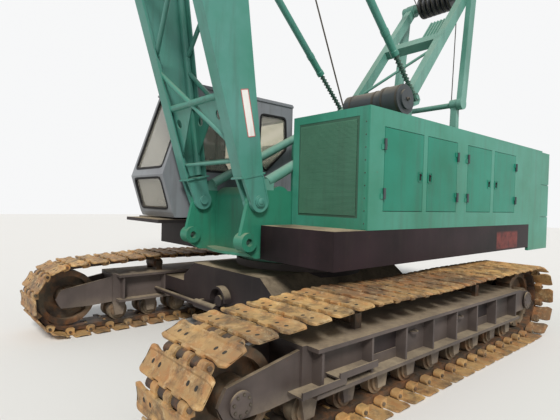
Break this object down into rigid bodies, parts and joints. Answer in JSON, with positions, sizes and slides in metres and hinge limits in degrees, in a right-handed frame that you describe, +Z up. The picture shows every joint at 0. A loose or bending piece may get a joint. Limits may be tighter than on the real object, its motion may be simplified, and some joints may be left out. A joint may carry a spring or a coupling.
{
  "type": "crawler crane",
  "caption": "Lattice boom crawler crane with slewing upperworks, luffing boom, backstops, gantry, cab, engine doors, wide track chains and a hook block.",
  "frame": {"origin": "on the ground under the slewing axis", "axes": "+X towards the boom side, +Y to the machine's left, +Z up"},
  "size_m": [8.4288, 4.25, 11.5416],
  "materials": {
    "body_paint": "semi-gloss",
    "boom_paint": "semi-gloss",
    "grille_paint": "satin",
    "dark_frame": "satin",
    "track_steel": "rusty",
    "wheel_steel": "greasy",
    "cab_paint": "satin",
    "cab_glass": "clear",
    "seat_fabric": "matte",
    "control_plastic": "matte",
    "engine_paint": "satin",
    "silencer_black": "matte",
    "rod_steel": "satin",
    "wire_rope": "greasy",
    "sheave_steel": "satin",
    "hook_paint": "satin"
  },
  "bodies": {
    "undercarriage": {"carbody": "dark_frame", "side_frame_left": "dark_frame", "side_frame_right": "dark_frame", "track_left": "track_steel", "track_right": "track_steel", "idlers": "wheel_steel", "sprockets": "wheel_steel", "track_rollers": "wheel_steel", "carrier_rollers": "wheel_steel", "travel_motors": "dark_frame", "slew_ring": "wheel_steel"},
    "upper": {"main_frame": "body_paint", "deck_left": "dark_frame", "deck_right": "dark_frame", "house_left": "body_paint", "house_right": "body_paint", "rear_covers": "body_paint", "radiator_grille": "grille_paint", "engine_block": "engine_paint", "counterweight": "body_paint", "low_gantry": "body_paint", "gantry_legs": "body_paint", "gantry_rear_links": "body_paint", "gantry_sheaves": "sheave_steel", "hoist_drum_front": "sheave_steel", "hoist_drum_rear": "sheave_steel", "boom_hoist_drum": "sheave_steel", "air_cleaner": "silencer_black", "cab_shell": "cab_paint", "cab_glass": "cab_glass", "cab_seat": "seat_fabric", "cab_controls": "control_plastic", "cab_step": "dark_frame", "catwalk": "dark_frame"},
    "boom": {"boom_base": "boom_paint", "boom_top": "boom_paint", "boom_head_sheaves": "sheave_steel"},
    "backstop_rods": {"backstop_rods": "rod_steel"},
    "backstop_tubes": {"backstop_tubes": "boom_paint"},
    "luffing_ropes": {"luffing_ropes": "wire_rope"},
    "pendants": {"pendants": "wire_rope"},
    "hoist_rope_lower": {"hoist_rope_lower": "wire_rope"},
    "hoist_rope_upper": {"hoist_rope_upper": "wire_rope"},
    "hook": {"hook_falls": "wire_rope", "hook_block": "hook_paint"},
    "engine_door_1": {"engine_door_1": "body_paint"},
    "engine_door_2": {"engine_door_2": "body_paint"},
    "engine_door_3": {"engine_door_3": "body_paint"},
    "engine_door_4": {"engine_door_4": "body_paint"},
    "right_door_1": {"right_door_1": "body_paint"},
    "right_door_2": {"right_door_2": "body_paint"},
    "cab_door": {"cab_door": "cab_paint"}
  },
  "joints": [
    {"name": "slew", "type": "hinge", "parent": "undercarriage", "child": "upper", "pos_m": [0, 0, 1], "axis": [0, 0, 1], "continuous": true},
    {"name": "boom_luff", "type": "hinge", "parent": "upper", "child": "boom", "pos_m": [1.146, 0, 1.681], "axis": [0, 1, 0], "range_deg": [-3, 47]},
    {"name": "backstop_swing", "type": "hinge", "parent": "upper", "child": "backstop_rods", "pos_m": [-1.55, 0, 3.2], "axis": [0, 1, 0], "range_deg": [-2.29, 33.03]},
    {"name": "backstop_slide", "type": "slide", "parent": "backstop_rods", "child": "backstop_tubes", "axis": [0.726, 0, 0.6877], "range_m": [-0.1353, 2.0751]},
    {"name": "luffing_swing", "type": "hinge", "parent": "upper", "child": "luffing_ropes", "pos_m": [-3.28, 0, 5.28], "axis": [0, 1, 0], "range_deg": [-2.54, 36.79]},
    {"name": "pendant_slide", "type": "slide", "parent": "luffing_ropes", "child": "pendants", "axis": [0.732, 0, 0.6813], "range_m": [-0.2645, 4.1006]},
    {"name": "hoist_rope_swing", "type": "hinge", "parent": "upper", "child": "hoist_rope_lower", "pos_m": [-1.5, 0, 1.5], "axis": [0, 1, 0], "range_deg": [-2.69, 39.16]},
    {"name": "hoist_rope_slide", "type": "slide", "parent": "hoist_rope_lower", "child": "hoist_rope_upper", "axis": [0.4254, 0, 0.905], "range_m": [-0.0926, 1.4061]},
    {"name": "hook_swing", "type": "hinge", "parent": "boom", "child": "hook", "pos_m": [3.80475, 0, 11.33022], "axis": [0, 1, 0], "range_deg": [-47.2, 3.2]},
    {"name": "engine_door_1_hinge", "type": "hinge", "parent": "upper", "child": "engine_door_1", "pos_m": [0.44, 1.617, 2], "axis": [0, 0, -1], "range_deg": [0, 100]},
    {"name": "engine_door_2_hinge", "type": "hinge", "parent": "upper", "child": "engine_door_2", "pos_m": [-1, 1.617, 2], "axis": [0, 0, 1], "range_deg": [0, 100]},
    {"name": "engine_door_3_hinge", "type": "hinge", "parent": "upper", "child": "engine_door_3", "pos_m": [-1.26, 1.617, 2], "axis": [0, 0, -1], "range_deg": [0, 100]},
    {"name": "engine_door_4_hinge", "type": "hinge", "parent": "upper", "child": "engine_door_4", "pos_m": [-2.73, 1.617, 2], "axis": [0, 0, 1], "range_deg": [0, 100]},
    {"name": "right_door_1_hinge", "type": "hinge", "parent": "upper", "child": "right_door_1", "pos_m": [-0.9, -1.617, 2], "axis": [0, 0, 1], "range_deg": [0, 100]},
    {"name": "right_door_2_hinge", "type": "hinge", "parent": "upper", "child": "right_door_2", "pos_m": [-2.8, -1.617, 2], "axis": [0, 0, -1], "range_deg": [0, 100]},
    {"name": "cab_door_hinge", "type": "hinge", "parent": "upper", "child": "cab_door", "pos_m": [0.19, -1.614, 2.2], "axis": [0, 0, -1], "range_deg": [0, 95]}
  ],
  "couplings": [
    {"joint": "backstop_swing", "follows": "boom_luff", "ratio": 0.6985},
    {"joint": "backstop_slide", "follows": "boom_luff", "m_per_rad": 2.526},
    {"joint": "luffing_swing", "follows": "boom_luff", "ratio": 0.77857},
    {"joint": "pendant_slide", "follows": "boom_luff", "m_per_rad": 4.9952},
    {"joint": "hoist_rope_swing", "follows": "boom_luff", "ratio": 0.82896},
    {"joint": "hoist_rope_slide", "follows": "boom_luff", "m_per_rad": 1.7105},
    {"joint": "hook_swing", "follows": "boom_luff", "ratio": -1}
  ]
}
